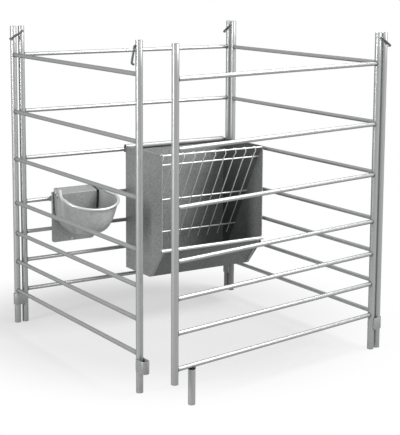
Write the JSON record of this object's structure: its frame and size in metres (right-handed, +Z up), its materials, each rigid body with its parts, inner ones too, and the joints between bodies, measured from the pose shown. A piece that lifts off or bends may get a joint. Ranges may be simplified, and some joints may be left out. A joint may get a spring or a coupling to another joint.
{
  "type": "lambing pen",
  "caption": "Square pen of tubular steel hurdles joined by strap rings and hooks, one an ajar gate, with a hay feeder and a drinking bowl on the back.",
  "frame": {"origin": "middle of the whole pen's footprint at ground level", "axes": "+Z up, +Y towards the back hurdle, -Y towards the gate, +X to the right seen from the gate"},
  "size_m": [1.089, 1.2404, 1.213],
  "materials": {
    "galvanised_tube": "satin galvanised",
    "galvanised_strap": "dull galvanised",
    "galvanised_sheet": "mottled galvanised",
    "bright_wire": "bright galvanised",
    "bowl_metal": "dull galvanised"
  },
  "bodies": {
    "pen": {"back_hook": "galvanised_tube", "back_left_post": "galvanised_tube", "back_rail_1": "galvanised_tube", "back_rail_2": "galvanised_tube", "back_rail_3": "galvanised_tube", "back_rail_4": "galvanised_tube", "back_rail_5": "galvanised_tube", "back_rail_6": "galvanised_tube", "back_rail_7": "galvanised_tube", "back_right_post": "galvanised_tube", "back_ring": "galvanised_strap", "bowl_plate": "bowl_metal", "bowl_rim": "bowl_metal", "bowl_strap_left": "bowl_metal", "bowl_strap_right": "bowl_metal", "drinking_bowl": "bowl_metal", "feeder_back": "galvanised_sheet", "feeder_left_side": "galvanised_sheet", "feeder_right_side": "galvanised_sheet", "feeder_trough": "galvanised_sheet", "hay_rack": "bright_wire", "left_back_post": "galvanised_tube", "left_front_post": "galvanised_tube", "left_rail_1": "galvanised_tube", "left_rail_2": "galvanised_tube", "left_rail_3": "galvanised_tube", "left_rail_4": "galvanised_tube", "left_rail_5": "galvanised_tube", "left_rail_6": "galvanised_tube", "left_rail_7": "galvanised_tube", "left_ring": "galvanised_strap", "right_back_post": "galvanised_tube", "right_front_post": "galvanised_tube", "right_hook": "galvanised_tube", "right_rail_1": "galvanised_tube", "right_rail_2": "galvanised_tube", "right_rail_3": "galvanised_tube", "right_rail_4": "galvanised_tube", "right_rail_5": "galvanised_tube", "right_rail_6": "galvanised_tube", "right_rail_7": "galvanised_tube", "right_ring": "galvanised_strap", "valve_cover": "bowl_metal"},
    "gate": {"gate_free_post": "galvanised_tube", "gate_hinge_post": "galvanised_tube", "gate_hook": "galvanised_tube", "gate_leg": "galvanised_tube", "gate_rail_1": "galvanised_tube", "gate_rail_2": "galvanised_tube", "gate_rail_3": "galvanised_tube", "gate_rail_4": "galvanised_tube", "gate_rail_5": "galvanised_tube", "gate_rail_6": "galvanised_tube", "gate_rail_7": "galvanised_tube", "gate_ring": "galvanised_strap"},
    "catch": {"catch_hook": "galvanised_tube"}
  },
  "joints": [
    {"name": "gate_swing", "type": "hinge", "parent": "pen", "child": "gate", "pos_m": [0.517, -0.43538, 0.6], "axis": [0, 0, 1], "range_deg": [-7, 205.4]},
    {"name": "catch_hook_swing", "type": "hinge", "parent": "pen", "child": "catch", "pos_m": [-0.5347, -0.40138, 1.194], "axis": [-0.9814, -0.167, 0.0945], "range_deg": [0, 120]}
  ]
}
